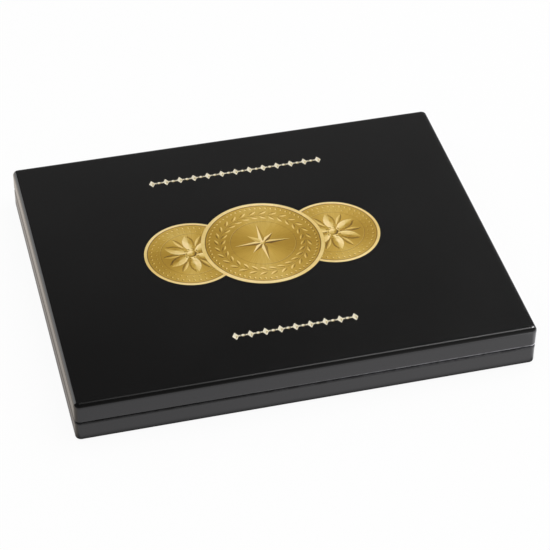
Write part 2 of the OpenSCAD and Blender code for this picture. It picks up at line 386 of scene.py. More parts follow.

# The painted highlight along the lacquer's edges, in metres
LID_EDGE = (0.0002, 0.0004, 0.0014, 0.0021)  # the lid's lower edge, above the rims' gap
BASE_EDGE = (-0.0012, -0.0008, -0.0004, -0.0001)  # the base's upper edge, with a fainter painted highlight
HIGHLIGHT_GROWS = (-0.08, 0.14)  # both are painted brighter to the right, as a highlight is
CORNER_X = (-0.005, -0.002)  # a painted glint lies on the lid's corner this near to the right side
CORNER_Y = (0.0025, 0.0075)  # and this near to the front


def painted_edge_highlight(finish, place, look):
    """How strong the painted highlight is along the edges where the two halves meet, and the
    painted glint at the lid's right front corner.
    """
    across, along, up = finish.axes(place)
    over = up - RIM_Z
    right = across.between(*HIGHLIGHT_GROWS)
    lid_edge = over.band(*LID_EDGE)
    edges = lid_edge * (right * 0.94 + 0.06) + over.band(*BASE_EDGE) * (right * 0.25 + 0.1)
    # a patchy break-up of the painted highlight line
    patchy = finish.grain(place, 240, 2).between(0.35, 0.6, 0.4, 1.0)
    # a painted glint on the lid's right front corner
    corner = (across - RIGHT_X).between(*CORNER_X) * (along - FRONT_Y).between(*CORNER_Y, 1.0, 0.0)
    return edges * patchy * look.edge_highlight + lid_edge * corner


def black_lacquer(look):
    """Black satin lacquer: a slow change of gloss and a very fine orange peel. Where the two
    halves meet, the coat is duller and grainier, and a pale painted highlight runs along the
    edges, patchy and brighter to the right, with a painted glint at the lid's right front corner."""
    finish = Finish("black_lacquer")
    place = finish.place()
    cloud = finish.grain(place, 22, 3)
    peel = finish.grain(place, 650, 1)
    specks = finish.grain(place, 420, 2)
    over = finish.axes(place)[2] - RIM_Z
    rim = over.math("ABSOLUTE").between(look.dull_reach * 0.75, look.dull_reach, 1.0, 0.0)
    coat = finish.mix(cloud, toned(look.colour, 0.85), toned(look.colour))
    # the pale colour of the painted edge highlight and corner glint
    colour = finish.mix(painted_edge_highlight(finish, place, look), coat, tint(214, 214, 222))
    gloss = cloud * 0.06 + (look.roughness - 0.03)
    return finish.surface(Base_Color=colour, IOR=1.57,
                          Roughness=gloss + rim * look.dull,
                          Normal=finish.bump(peel * look.peel + rim * specks * look.specks,
                                             1.0, 0.00002))


def printed_gold(name, look, centre_x, mirrored):
    """Gold print of a round medal: its painted tones, with rays turned about its centre."""
    finish = Finish(name)
    place = finish.place()
    if mirrored:
        place = finish.node("ShaderNodeVectorMath", {"operation": "ABSOLUTE"}, {0: place})
    local = finish.node("ShaderNodeVectorMath", {"operation": "SUBTRACT"},
                        {0: place, 1: (centre_x * MM, EMBLEM_Y * MM, 0)})
    across, along, _ = finish.axes(local)
    angle = along.math("ARCTAN2", across)
    radius = (across * across + along * along).math("SQRT")

    def radial(around, outward, detail):
        """Noise with so many grains to the radian and to the metre."""
        turned = finish.node("ShaderNodeCombineXYZ", None, {0: angle * around, 1: radius * outward})
        return finish.grain(turned, 1.0, detail)

    rays = radial(26, 60, 3)
    hairs = radial(110, 240, 2)
    drift = finish.grain(finish.place(), 55, 4)
    sector = (angle * 2 + look.light_turn).math("COSINE")
    level = (finish.painted_tone() + (rays - 0.5) * look.rays
             + (hairs - 0.5) * (look.rays * 0.8) + (drift - 0.5) * 0.14 + sector * look.sweep)
    colour = finish.node("ShaderNodeValToRGB", {"stops": GOLD_TONES}, {"Fac": level})
    return finish.surface(Base_Color=colour, Metallic=look.metallic,
                          Roughness=drift * 0.12 + 0.36, Specular_IOR_Level=0.3,
                          Normal=finish.bump(hairs, 0.25, 0.00003))


def cream_print():
    """Cream print, a little golden where the ink is thin."""
    finish = Finish("cream_print")
    place = finish.place()
    ink = finish.grain(place, 900, 2)
    level = finish.painted_tone() + (ink - 0.5) * 0.2
    colour = finish.node("ShaderNodeValToRGB", {"stops": CREAM_TONES}, {"Fac": level})
    return finish.surface(Base_Color=colour, Roughness=ink * 0.1 + 0.4,
                          Normal=finish.bump(ink, 0.2, 0.00003))


def flock(name, look):
    """Short dense flock: brushed patches, single fibres that catch the light, and sheen."""
    finish = Finish(name)
    place = finish.place()
    brushed = finish.grain(place, 28, 3).between(0.35, 0.65)
    fibres = finish.grain(place, 5200, 1)
    colour = finish.mix(brushed * 0.5 + fibres * 0.5,
                        toned(look.colour, 0.72), toned(look.colour, 1.3))
    return finish.surface(Base_Color=colour, Roughness=0.95, Sheen_Weight=0.8,
                          Sheen_Roughness=0.35, Sheen_Tint=tint(130, 150, 205),
                          Specular_IOR_Level=0.15,
                          Normal=finish.bump(fibres, 0.5, 0.0002))


def satin(look):
    """Ivory satin: fine threads across a soft, warm gloss."""
    finish = Finish("ivory_satin")
    place = finish.place()
    threads = finish.grain(finish.stretched(place, (500, 7000, 7000)), 1.0, 1)
    cross = finish.grain(finish.stretched(place, (6000, 700, 6000)), 1.0, 1)
    shade = finish.grain(place, 18, 2)
    colour = finish.mix(threads * 0.5 + shade * 0.5,
                        toned(look.colour, 0.78), toned(look.colour))
    return finish.surface(Base_Color=colour, Roughness=shade * 0.12 + 0.34,
                          Sheen_Weight=0.3, Sheen_Roughness=0.3, Anisotropic=0.5,
                          Normal=finish.bump(threads + cross, 0.25, 0.00008))


def plain_card():
    """Uncoated ivory card with a few darker fibres."""
    finish = Finish("lining_card")
    place = finish.place()
    pulp = finish.grain(place, 1400, 4)
    colour = finish.mix(pulp, tint(196, 184, 158), tint(226, 217, 194))
    return finish.surface(Base_Color=colour, Roughness=0.85,
                          Normal=finish.bump(pulp, 0.3, 0.0001))


def pressed_felt(look):
    """Black felt: matted fibres that lie every way, with grey ones among them."""
    finish = Finish("black_felt")
    place = finish.place()
    matted = finish.grain(finish.stretched(place, (900, 2600, 2600)), 1.0, 4)
    crossed = finish.grain(finish.stretched(place, (2600, 900, 2600)), 1.0, 4)
    hairs = matted.math("MAXIMUM", crossed).between(0.45, 0.75)
    colour = finish.mix(hairs, toned(look.colour), tint(64, 64, 68))
    return finish.surface(Base_Color=colour, Roughness=0.95, Sheen_Weight=0.3,
                          Specular_IOR_Level=0.2,
                          Normal=finish.bump(matted + crossed, 0.6, 0.0003))


def brushed_metal(name, colour, roughness, brush):
    """Metal brushed along the axis where the scale is least, under a thin clear lacquer."""
    finish = Finish(name)
    place = finish.place()
    scratches = finish.grain(finish.stretched(place, brush), 1.0, 3)
    wear = finish.grain(place, 160, 3)
    return finish.surface(Base_Color=finish.mix(scratches, toned(colour, 0.8), colour),
                          Metallic=0.6, Coat_Weight=0.3, Coat_Roughness=0.15,
                          Roughness=scratches * 0.12 + wear * 0.1 + (roughness - 0.1),
                          Normal=finish.bump(scratches, 0.2, 0.00003))


# ---------- studio finishes ----------

FLOOR_DROP = 0.0001  # the floor lies this far under the case, in metres
FELT_LAP = 0.002  # and reaches this far under the felt's edge
FLOOR_SPREAD = 90  # it is this many times as wide as the hole under the felt

# Each lamp's place, the point that it is aimed at and its size, in metres
SOFTBOX = ((0.66, 0.12, 1.1), (0.3, 0.05, 0), (0.8, 1.1))
FILL = ((-0.3, -0.3, 1.7), (0, 0, 0), (1.8, 1.8))

# Where the floor changes in the gloss, in metres out from the case
FOOT = (0.0005, 0.0055)  # a painted shadow darkens it at the foot of the front and of the right side
LEFT_FOOT = (0.0025, 0.0055)  # and a fainter painted shadow at the foot of the left side
LEFT_BORDER = 0.0015  # width of the border at the left, beside the case
LEFT_REACH = (0.006, 0.068)  # the left is whiter further out, where the painted shade near the case fades
RIGHT_GLINT = (0.003, 0.018)  # a strip of painted light makes the right brighter

# And in metres from the case's middle
GLINT_Y = (-0.1, 0.0)  # that painted light lies only near the front
FLOOR_X = (-0.3, 0.3)  # the floor before the case is painted lighter to the right
LEFT_Y = (-0.13, 0.2)  # the left is whiter to the back

# Parts of the studio in the gloss. Each has limits for how far a direction points to the
# right, to the back and up: where it starts and is full, and where it fades and ends.
BEGINS, ENDS = (-3, -2), (2, 3)  # no direction is past these, so that side has no limit
BEHIND = (-0.35, 0.5)  # from the front of the studio to its ceiling and back
FRONT_X = (0.08, 0.3)  # the front wall is paler to the right
BACK_WALL = ((-0.25, -0.05, 0.42, 0.58), (*BEHIND, *ENDS), (*BEGINS, 0.45, 0.74))
WINDOW = ((0.02, 0.34, *ENDS), (0.14, 0.34, 0.53, 0.63), (0.2, 0.4, *ENDS))
SCREEN = ((*BEGINS, -0.36, -0.26), (0.6, 0.68, *ENDS), (*BEGINS, 0.54, 0.66))
LAMP = ((0.37, 0.42, 0.58, 0.64), (0.28, 0.34, 0.54, 0.6), (0.5, 0.6, *ENDS))


def rays_seen(finish):
    """Whether a ray comes from the camera, from gloss or through something clear."""
    ray = finish.node("ShaderNodeLightPath").socket.node.outputs
    return [Signal(finish, ray[f"Is {kind} Ray"]) for kind in ("Camera", "Glossy", "Transmission")]


def floor_in_gloss(finish, look):
    """The floor's white as the gloss shows it: graded before the case, with a strip of painted
    light at its right and a painted shadow at its foot. Left of a border that widens to the
    front, it has a warm white, with painted shade near the case."""
    across, along, _ = finish.axes(finish.place())
    left = -RIGHT_X - across
    right = across - RIGHT_X
    in_front = (FRONT_Y - along).math("MAXIMUM", 0.0)
    past = (across.math("ABSOLUTE") - RIGHT_X).math("MAXIMUM", along.math("ABSOLUTE") + FRONT_Y)
    ahead = across.between(*FLOOR_X, look.mirror_left, look.mirror_right)
    # a strip of painted light right of the case
    ahead += right.between(*RIGHT_GLINT) * along.between(*GLINT_Y, look.mirror_glint, 0.0)
    # painted shadow on the floor at the case's foot
    ahead *= past.between(*FOOT, 0.25, 1.0)
    aside = left.between(*LEFT_REACH, look.mirror_near, look.mirror_far)
    # painted shade near the left side's foot, fading further out
    aside *= along.between(*LEFT_Y, 0.82, 1.26) * left.between(*LEFT_FOOT, 0.64, 1.0)
    beside = left.between(0.0, in_front * 3 + LEFT_BORDER)
    white = ahead * (1 - beside) + aside * beside
    warm = finish.mix(beside, (0.98, 0.97, 1, 1), toned(look.mirror_tint))
    return finish.node("ShaderNodeEmission", None, {"Color": warm, "Strength": white})


def white_floor(look):
    """A floor that is white where it is seen, keeps the object's shadow, and is clear from
    below."""
    finish = Finish("white_floor")
    camera, glossy, clear = rays_seen(finish)
    matt = finish.node("ShaderNodeBsdfDiffuse", None, {"Color": toned([look.floor_tone] * 3)})
    white = finish.node("ShaderNodeEmission", None, {"Strength": 1.0})
    lit = finish.node("ShaderNodeMixShader", None, {0: camera * look.floor_glow, 1: matt, 2: white})
    above = finish.node("ShaderNodeMixShader", None,
                        {0: glossy.math("MAXIMUM", clear), 1: lit, 2: floor_in_gloss(finish, look)})
    below = finish.node("ShaderNodeNewGeometry", out="Backfacing")
    solid = finish.node("ShaderNodeMixShader", None,
                        {0: below, 1: above, 2: finish.node("ShaderNodeBsdfTransparent")})
    finish.node("ShaderNodeOutputMaterial", None, {"Surface": solid})
    return finish.material


def studio_room(world, look):
    """White where it is seen, even light on matt surfaces, and a dim studio in the gloss."""
    finish = Finish("studio", world)
    across, along, up = finish.axes(finish.node("ShaderNodeTexCoord", out="Generated"))
    up = up.math("MAXIMUM", 0.0)

    def part(limits):
        """1 in one part of the studio and 0 outside it."""
        sides, depths, heights = limits
        return across.band(*sides) * along.band(*depths) * up.band(*heights)

    behind = along.between(*BEHIND)
    fade = across.between(*FRONT_X, -5.4, -2.2)
    front = (up * fade).math("EXPONENT") * 0.75 + across.between(*FRONT_X, 0.04, 0.14)
    tone = (behind * look.ceiling + (1 - behind) * front + part(BACK_WALL) * look.wall
            + part(WINDOW) * look.window + part(SCREEN) * look.side_light
            + part(LAMP) * look.glint_light)
    camera, glossy, clear = rays_seen(finish)
    seen = camera.math("MAXIMUM", clear)
    strength = (1 - glossy) * (1 - seen) * look.sky + glossy * tone + seen
    shown = finish.node("ShaderNodeBackground", None, {"Strength": strength})
    finish.node("ShaderNodeOutputWorld", None, {"Surface": shown})


# ---------- print ----------

PRINT_LIGHT = Vector((-0.55, 0.62, 0.56)).normalized()  # where the print's own light comes from

# Heights of a medal's rim, groove and field, as shares of the print's thickness
MIDDLE_LEVELS = (1, 0.42, 0.52)
SIDE_LEVELS = (0.36, 0.1, 0.16)


def paint_tones(piece, base, gain=0.9, stretch=40):
    """Paints a relief as it would look stretched upwards in the print's own light. The base
    is its tone where it is level, or a function that gives it for a face's centre."""
    tones = piece.data.attributes.new("tone", "FLOAT", "CORNER")
    for face in piece.data.polygons:
        level = base(face.center) if callable(base) else base
        for corner in face.loop_indices:
            normal = piece.data.corner_normals[corner].vector
            tall = Vector((normal.x * stretch, normal.y * stretch, normal.z)).normalized()
            light = tall.dot(PRINT_LIGHT) - PRINT_LIGHT.z
            tones.data[corner].value = level + gain * light


def medal_blank(radius, look, low, levels):
    """A round medal in the print: a rounded rim, a groove inside it and a level field."""
    top, groove_z, field_z = levels
    edge = (top - low) * 0.3  # height of the bevel round the rim, which is twice as wide
    rim = look.rim_w * radius / MIDDLE_R
    blank = add("cylinder", vertices=160, radius=radius, depth=top - edge - low,
                location=(0, 0, (top - edge + low) / 2))
    slope = look.groove_w / 3  # the groove goes down, level and up again
    with editing(blank):
        select_faces(blank, facing_up)
        for thickness, rise in ((edge * 2, edge), (rim, 0), (slope, groove_z - top), (slope, 0),
                                (slope, field_z - groove_z)):
            bpy.ops.mesh.inset(thickness=thickness, depth=rise)
    fix(blank)
    field = radius - rim - look.groove_w - edge * 2

    def base(centre):
        """Light on the rim, dark in the groove and between them on the field."""
        out = math.hypot(centre.x, centre.y)
        if out > field + look.groove_w:
            return 0.9
        return 0.3 if out > field else 0.52

    paint_tones(blank, base, gain=0.35, stretch=6)
    return blank, field


def bead(radius, low, height, tone):
    """A domed bead on a level."""
    made = add("uv_sphere", segments=14, ring_count=8, radius=radius, location=(0, 0, low))
    with editing(made):
        bpy.ops.mesh.select_all(action="SELECT")
        bpy.ops.mesh.bisect(plane_co=(0, 0, low), plane_no=(0, 0, 1), use_fill=True,
                            clear_inner=True)
        resize_all((1, 1, height / radius), low)
    fix(made)
    smooth(made, 80)
    paint_tones(made, tone, stretch=0.5 * radius / height)
    return made


def leaf(length, width, low, height, tone):
    """A pointed leaf along +X with a raised midrib."""
    wall = height * 0.3  # the upright wall round the leaf
    tip = length * 0.08  # how far each end is drawn out
    made = add("cylinder", vertices=14, radius=1, depth=wall, location=(0, 0, low + wall / 2))
    with editing(made):
        resize_all((length / 2 - tip, width / 2, 1), low)
        select_faces(made, facing_up)
        bpy.ops.mesh.inset(thickness=width * 0.14, depth=height * 0.3)
        bpy.ops.mesh.poke(offset=height * 0.4)
        for side in (-1, 1):
            select_points(made, lambda spot, side=side: spot.x * side > length * 0.36)
            bpy.ops.transform.translate(value=(side * tip, 0, 0))
    fix(made)
    paint_tones(made, tone, stretch=0.35 * width / height)
    return made


def ring(radius, width, low, height, tone):
    """A thin round moulding, half sunk in the field."""
    made = add("torus", major_radius=radius, minor_radius=width / 2, major_segments=128,
               minor_segments=8, location=(0, 0, low))
    with editing(made):
        resize_all((1, 1, height / (width / 2)), low)
    fix(made)
    smooth(made, 80)
    paint_tones(made, tone, stretch=0.3 * width / height)
    return made


def turns(count, radius=0.0, start=0.0, tilt=0.0):
    """Places at even turns about the centre, each so far out and tilted by an angle."""
    return [Matrix.Rotation(start + math.tau * i / count, 4, "Z")
            @ Matrix.Translation((radius, 0, 0)) @ Matrix.Rotation(tilt, 4, "Z")
            for i in range(count)]


def compass_star(long_r, short_r, inner_r, low, height, tone):
    """An eight-pointed star with four long points, folded along its ridges. It is a cone of 16
    corners: every fourth is drawn in to a short point, and every other one to a valley."""
    made = add("cone", vertices=16, radius1=long_r, depth=height, location=(0, 0, low + height / 2))
    with editing(made, "VERT"):
        for reach, first, step in ((short_r, 2, 4), (inner_r, 1, 2)):
            angles = [math.tau * i / 16 for i in range(first, 16, step)]

            def chosen(spot):
                """Picks the corners at these angles."""
                turn = math.atan2(spot.x, spot.y) % math.tau
                return spot.xy.length > 0.1 and any(
                    abs(math.remainder(turn - angle, math.tau)) < 0.02 for angle in angles)
            select_points(made, chosen)
            share = reach / long_r
            bpy.ops.transform.resize(value=(share, share, 1), center_override=(0, 0, low))
    fix(made)
    paint_tones(made, tone, stretch=0.45 * inner_r / height)
    return made


def medal_pieces(look, radius, low, levels, middle):
    """A medal and its ornaments: a star in a wreath, or a six-petalled rosette. Their sizes
    and places are shares of its radius, and their heights are shares of its relief."""
    blank, field = medal_blank(radius, look, low, levels)
    top, _, level = levels
    rise = top - level
    if middle:
        made = [compass_star(radius * 0.47, radius * 0.3, radius * 0.125, level, rise, 0.74),
                ring(radius * 0.53, 0.5, level, rise * 0.6, 0.5),
                ring(radius * 0.7, 0.3, level, rise * 0.5, 0.42),
                bead(radius * 0.055, level + rise * 0.6, rise * 0.4, 0.8)]
        for out, tilt in ((0.645, -0.5), (0.755, 0.5)):
            made += copies(leaf(radius * 0.135, radius * 0.052, level, rise * 0.9, 0.62),
                           turns(28, radius * out, 0.0, math.pi / 2 + tilt))
        made += copies(bead(radius * 0.02, level, rise, 0.66), turns(64, field * 0.95))
    else:
        petal = leaf(radius * 0.5, radius * 0.25, level, rise, 0.72)
        made = copies(petal, turns(6, radius * 0.35, math.pi / 6))
        made += copies(leaf(radius * 0.34, radius * 0.1, level, rise * 0.8, 0.58),
                       turns(6, radius * 0.43))
        made += [ring(radius * 0.66, 0.5, level, rise * 0.6, 0.5),
                 bead(radius * 0.1, level, rise, 0.72)]
        made += copies(bead(radius * 0.03, level, rise * 0.9, 0.6), turns(10, radius * 0.145))
        made += copies(bead(radius * 0.024, level, rise, 0.64), turns(44, field * 0.93))
        made += copies(bead(radius * 0.016, level, rise, 0.6), turns(36, radius * 0.74))
    return [blank, *made]


def gem(width, depth, low, rise, tone):
    """A lozenge cut to four facets, with a rim round them."""
    wall = rise * 0.3
    made = add("cylinder", vertices=4, radius=1, depth=wall, location=(0, 0, low + wall / 2))
    with editing(made):
        resize_all((width / 2, depth / 2, 1), low)
        select_faces(made, facing_up)
        bpy.ops.mesh.inset(thickness=width * 0.09, depth=0)
        bpy.ops.mesh.poke(offset=rise * 0.7)
    fix(made)
    paint_tones(made, tone, gain=0.7, stretch=0.4 * width / rise)
    return made


def rule_pieces(look, width, y, low, rise):
    """A fine double line strung with lozenges, and with beads between them."""
    count = math.floor((width - look.lozenge_w) / look.lozenge_pitch)
    first = -count * look.lozenge_pitch / 2
    made = []
    for side in (-1, 1):
        line = add("cube", size=1, location=(0, y + side * look.line_gap / 2, low + rise * 0.2))
        line.scale = (count * look.lozenge_pitch, look.line_w, rise * 0.4)
        fix(line)
        modify(line, "BEVEL", width=rise * 0.1, segments=2, limit_method="NONE")
        paint_tones(line, 0.7)
        made.append(line)

    def along(start, number):
        """Places along the rule, a pitch apart."""
        return [Matrix.Translation((start + i * look.lozenge_pitch, y, 0)) for i in range(number)]

    half = look.lozenge_pitch / 2
    made += copies(gem(look.lozenge_w, look.lozenge_d, low, rise, 0.72), along(first, count + 1))
    made += copies(bead(look.bead_d / 2, low, rise, 0.7), along(first + half, count))
    for side in (-1, 1):
        spread = first + half + side * look.bead_d
        made += copies(bead(look.bead_d / 4, low, rise * 0.8, 0.66), along(spread, count))
    return made


# ---------- settings ----------

class CaseLacquer(bpy.types.PropertyGroup):
    """The black lacquer on the panels and the rails."""

    colour: bpy.props.FloatVectorProperty(
        name="Lacquer", description="Colour of the lacquer", subtype="COLOR",
        default=(0.0046, 0.0044, 0.0043), min=0, max=1)
    roughness: bpy.props.FloatProperty(
        name="Roughness", description="Roughness of the lacquer", default=0.15, min=0, max=1)
    peel: bpy.props.FloatProperty(
        name="Orange peel", description="Strength of the lacquer's ripple", default=0.05,
        min=0, max=1)
    dull: bpy.props.FloatProperty(
        name="Dull rims", description="How much rougher the lacquer is on the rims",
        default=0.24, min=0, max=0.7)
    dull_reach: bpy.props.FloatProperty(
        name="Dull reach", description="Height of the dull zone above and below the rims' gap",
        unit="LENGTH", default=0.0022, min=0.0002, max=0.01)
    specks: bpy.props.FloatProperty(
        name="Specks", description="Strength of the grain on the rims", default=1.0,
        min=0, max=5)
    # strength of the pale painted highlight along the edges where the halves meet
    edge_highlight: bpy.props.FloatProperty(
        name="Painted edge highlight", description="Strength of the pale line where the halves meet",
        default=0.3, min=0, max=1)


class CaseFlock(bpy.types.PropertyGroup):
    """The flocked insert."""

    colour: bpy.props.FloatVectorProperty(
        name="Flock", description="Colour of the flock", subtype="COLOR",
        default=(0.010, 0.019, 0.075), min=0, max=1)
    edge: bpy.props.FloatProperty(
        name="Edge", description="Rounding of the recesses' edges, in millimetres",
        default=0.5, min=0.05, max=1)


class CaseSatin(bpy.types.PropertyGroup):
    """The padded lining of the lid."""

    colour: bpy.props.FloatVectorProperty(
        name="Satin", description="Colour of the satin", subtype="COLOR",
        default=(0.88, 0.8, 0.65), min=0, max=1)
    spacing: bpy.props.FloatProperty(
        name="Mesh", description="Distance between the lining's points, in millimetres",
        default=1.6, min=1, max=8)
    drawn: bpy.props.FloatProperty(
        name="Drawn in", description="How far from its edge the pad is full, in millimetres",
        default=9, min=2, max=30)
    pucker: bpy.props.FloatProperty(
        name="Puckers", description="Depth of the puckers at the edge, in millimetres",
        default=0.9, min=0, max=1.2)


class CaseFelt(bpy.types.PropertyGroup):
    """The felt on the underside."""

    colour: bpy.props.FloatVectorProperty(
        name="Felt", description="Colour of the felt", subtype="COLOR",
        default=(0.012, 0.012, 0.013), min=0, max=1)
    edge: bpy.props.FloatProperty(
        name="Edge", description="Rounding of the felt's edge, in millimetres",
        default=0.3, min=0.05, max=0.5)


class CasePrint(bpy.types.PropertyGroup):
    """The gold medals printed on the lid."""

    side_r: bpy.props.FloatProperty(
        name="Side medals", description="Radius of the side medals, in millimetres",
        default=32, min=10, max=45)
    rim_w: bpy.props.FloatProperty(
        name="Rim", description="Width of the middle medal's rim, in millimetres",
        default=2.4, min=0.5, max=6)
    groove_w: bpy.props.FloatProperty(
        name="Groove", description="Width of the groove inside a rim, in millimetres",
        default=0.7, min=0.3, max=2)
    rays: bpy.props.FloatProperty(
        name="Rays", description="Contrast of the rays that fill the field",
        default=0.16, min=0, max=1)
    sweep: bpy.props.FloatProperty(
        name="Sweep", description="Contrast between a medal's light and dark quarters",
        default=0.1, min=0, max=1)
    light_turn: bpy.props.FloatProperty(
        name="Turn of the light", description="Direction of the light quarters",
        subtype="ANGLE", default=math.radians(-160))
    metallic: bpy.props.FloatProperty(
        name="Metal", description="Share of metal in the print", default=0.12, min=0, max=1)


class CaseRules(bpy.types.PropertyGroup):
    """The ornamental rules printed before and behind the medals."""

    back_w: bpy.props.FloatProperty(
        name="Back rule", description="Length of the rule behind, in millimetres",
        default=134, min=30, max=250)
    front_w: bpy.props.FloatProperty(
        name="Front rule", description="Length of the rule in front, in millimetres",
        default=93, min=30, max=250)
    lozenge_w: bpy.props.FloatProperty(
        name="Lozenge width", description="Width of a lozenge, in millimetres",
        default=4.4, min=1, max=8)
    lozenge_d: bpy.props.FloatProperty(
        name="Lozenge depth", description="Size of a lozenge from front to back, in millimetres",
        default=7, min=2, max=12)
    lozenge_pitch: bpy.props.FloatProperty(
        name="Pitch", description="Distance between two lozenges, in millimetres",
        default=10, min=6, max=20)
    bead_d: bpy.props.FloatProperty(
        name="Bead", description="Diameter of a bead, in millimetres", default=2.4, min=1, max=4)
    line_w: bpy.props.FloatProperty(
        name="Line", description="Width of each line, in millimetres", default=0.3,
        min=0.1, max=1)
    line_gap: bpy.props.FloatProperty(
        name="Line gap", description="Distance between the two lines, in millimetres",
        default=0.8, min=0.3, max=2)


class CaseStudio(bpy.types.PropertyGroup):
    """The camera, the floor and the lights."""

    target: bpy.props.FloatVectorProperty(
        name="Target", description="Point that the camera looks at", subtype="TRANSLATION",
        unit="LENGTH", default=(0.00402, -0.01416, 0.015))
    distance: bpy.props.FloatProperty(
        name="Distance", description="From the camera to its target", unit="LENGTH",
        default=1.4039, min=0.1)
    azimuth: bpy.props.FloatProperty(
        name="Azimuth", description="Turn of the camera to the left of the front",
        subtype="ANGLE", default=math.radians(15.021))
    elevation: bpy.props.FloatProperty(
        name="Elevation", description="Height of the camera above the floor",
        subtype="ANGLE", default=math.radians(41.111))
    roll: bpy.props.FloatProperty(
        name="Roll", description="Turn of the camera about its own line of sight",
        subtype="ANGLE", default=math.radians(0.948))
    lens: bpy.props.FloatProperty(
        name="Lens", description="Focal length in millimetres on a sensor 36 mm wide",
        default=135.84, min=10, max=400)
    floor_tone: bpy.props.FloatProperty(
        name="Floor", description="Tone of the floor", default=0.9, min=0, max=1)
    floor_glow: bpy.props.FloatProperty(
        name="Floor glow", description="Share of the floor's white that no shadow darkens",
        default=0.93, min=0, max=1)
    mirror_left: bpy.props.FloatProperty(
        name="Mirrored floor, front left", default=0.82, min=0, max=2,
        description="White of the floor in the gloss, before the case's left end")
    mirror_right: bpy.props.FloatProperty(
        name="Mirrored floor, front right", default=1.22, min=0, max=2,
        description="White of the floor in the gloss, before the case's right end")
    mirror_glint: bpy.props.FloatProperty(
        name="Mirrored floor, right", default=0.7, min=0, max=4,
        description="White that the floor right of the case gains in the gloss")
    mirror_near: bpy.props.FloatProperty(
        name="Mirrored floor, left foot", default=0.84, min=0, max=2,
        description="White of the floor in the gloss, at the foot of the left side")
    mirror_far: bpy.props.FloatProperty(
        name="Mirrored floor, left", default=1.4, min=0, max=3,
        description="White of the floor in the gloss, a little left of the case")
    mirror_tint: bpy.props.FloatVectorProperty(
        name="Tint at the left", subtype="COLOR", default=(1.0, 0.91, 0.82), min=0, max=1,
        description="Colour of the floor in the gloss, left of the case")
    sky: bpy.props.FloatProperty(
        name="Sky", description="Soft light from all round", default=0.8, min=0, max=2)
    ceiling: bpy.props.FloatProperty(
        name="Ceiling", description="Tone of the studio's ceiling in the gloss",
        default=0.06, min=0, max=1)
    wall: bpy.props.FloatProperty(
        name="Back wall", description="Tone of the wall behind, in the gloss",
        default=0.45, min=0, max=1)
    window: bpy.props.FloatProperty(
        name="Window", description="White of the high window behind, in the gloss",
        default=3.2, min=0, max=6)
    side_light: bpy.props.FloatProperty(
        name="Side light", description="White of the screen at the left behind, in the gloss",
        default=2.1, min=0, max=5)
    glint_light: bpy.props.FloatProperty(
        name="Glint", description="White of the lamp behind at the right, in the gloss",
        default=24.0, min=0, max=50)
    softbox: bpy.props.FloatProperty(
        name="Softbox", description="Power of the overhead softbox, in watts", default=4.5,
        min=0, max=100)
    fill: bpy.props.FloatProperty(
        name="Fill", description="Power of the large fill light, in watts", default=6.0,
        min=0, max=100)


# ---------- operators ----------

class CoinCaseStep(bpy.types.Operator):
    """One step of the dressing."""

    bl_options = {"REGISTER", "UNDO"}

    def execute(self, context):
        self.make(context.scene)
        return {"FINISHED"}


class COINCASE_OT_studio(CoinCaseStep):
    """Add the camera, the white floor and the lights"""

    bl_idname = "coin_case.studio"
    bl_label = "Studio"

    def make(self, scene):
        look = scene.case_studio
        scene.view_settings.view_transform = "Standard"
        self.add_camera(scene, look)
        self.add_floor(look)
        scene.world = bpy.data.worlds.new("studio")
        studio_room(scene.world, look)
        self.add_area("softbox", look.softbox, *SOFTBOX)
        self.add_area("fill", look.fill, *FILL)

    def add_camera(self, scene, look):
        """A camera that looks at the target from its azimuth and elevation, with its roll."""
        level = math.cos(look.elevation)
        back = Vector((-math.sin(look.azimuth) * level, -math.cos(look.azimuth) * level,
                       math.sin(look.elevation)))
        data = bpy.data.cameras.new("camera")
        data.sensor_width, data.lens = 36, look.lens
        data.clip_start, data.clip_end = 0.05, 50
        camera = bpy.data.objects.new("camera", data)
        scene.collection.objects.link(camera)
        aim = (-back).to_track_quat("-Z", "Y").to_matrix().to_4x4()
        camera.matrix_world = (Matrix.Translation(Vector(look.target) + back * look.distance)
                               @ aim @ Matrix.Rotation(look.roll, 4, "Z"))
        scene.camera = camera

    def add_floor(self, look):
        """A wide white floor, open under the felt so that light gets there."""
        low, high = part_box("base_felt")
        hole = high - low
        floor = add("plane", size=1, location=(0, 0, -FLOOR_DROP))
        floor.scale = (hole.x - 2 * FELT_LAP, hole.y - 2 * FELT_LAP, 1)
        fix(floor)
        with editing(floor, "EDGE"):
            bpy.ops.mesh.select_all(action="SELECT")
            bpy.ops.mesh.delete(type="ONLY_FACE")
            bpy.ops.mesh.select_all(action="SELECT")
            bpy.ops.mesh.extrude_edges_move(TRANSFORM_OT_translate={"value": (0, 0, 0)})
            bpy.ops.transform.resize(value=(FLOOR_SPREAD, FLOOR_SPREAD, 1))
            bpy.ops.mesh.select_all(action="SELECT")
            bpy.ops.mesh.normals_make_consistent(inside=False)
        if floor.data.polygons[0].normal.z < 0:
            floor.data.flip_normals()
        floor.name = "floor"
        dress(floor, white_floor(look))

    def add_area(self, name, power, place, aim, size):
        """A rectangular lamp at a place, aimed at a point, which the gloss doesn't show."""
        data = bpy.data.lights.new(name, "AREA")
        data.shape, data.size, data.size_y = "RECTANGLE", *size
        data.energy = power
        lamp = bpy.data.objects.new(name, data)
        bpy.context.scene.collection.objects.link(lamp)
        ray = Vector(aim) - Vector(place)
        lamp.matrix_world = (Matrix.Translation(place)
                             @ ray.to_track_quat("-Z", "Y").to_matrix().to_4x4())
        lamp.visible_glossy = False


class COINCASE_OT_lacquer(CoinCaseStep):
    """Lacquer the panels and the rails"""

    bl_idname = "coin_case.lacquer"
    bl_label = "Lacquer"

    def make(self, scene):
        material = black_lacquer(scene.case_lacquer)
        for node in LACQUERED:
            dress_node(node, material)


